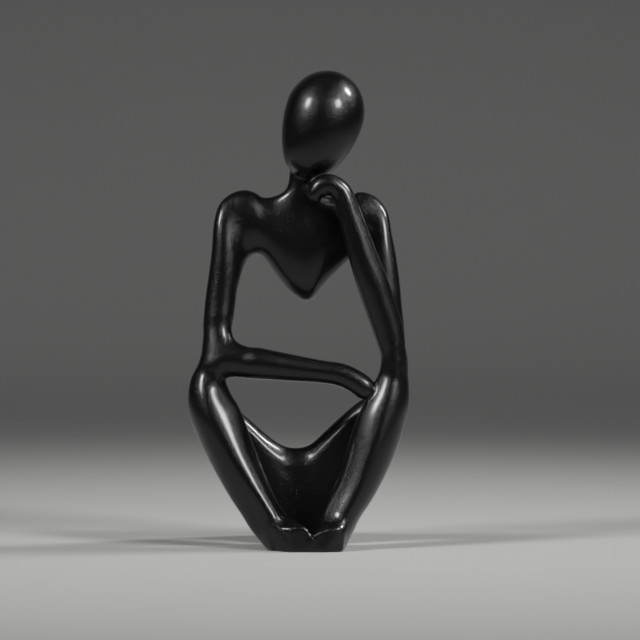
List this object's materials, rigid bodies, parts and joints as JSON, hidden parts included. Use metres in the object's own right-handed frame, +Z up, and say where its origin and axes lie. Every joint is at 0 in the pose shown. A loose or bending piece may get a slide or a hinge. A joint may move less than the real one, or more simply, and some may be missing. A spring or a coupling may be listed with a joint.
{
  "type": "abstract seated figure sculpture",
  "caption": "Slim abstract figure that sits with knees raised, one forearm across the lap and the chin on the other hand, in glossy black.",
  "frame": {"origin": "middle of the bounding box's underside, on the surface that the figure sits on", "axes": "+Z up, the figure faces -Y, and +X is the figure's own left side"},
  "size_m": [0.0605, 0.05, 0.1299],
  "materials": {
    "lacquer": "satin-gloss black lacquer on cast resin",
    "pin_steel": "plain ground steel"
  },
  "bodies": {
    "root": {"head": "lacquer", "torso": "lacquer", "right_upper_arm": "lacquer", "right_forearm": "lacquer", "left_upper_arm": "lacquer", "left_forearm": "lacquer", "lap": "lacquer", "right_thigh": "lacquer", "left_thigh": "lacquer", "right_shin": "lacquer", "left_shin": "lacquer", "right_foot": "lacquer", "left_foot": "lacquer", "neck_pin": "pin_steel", "shoulder_pins": "pin_steel", "elbow_pins": "pin_steel", "knee_pins": "pin_steel", "hip_pins": "pin_steel", "ankle_pins": "pin_steel"}
  },
  "joints": []
}
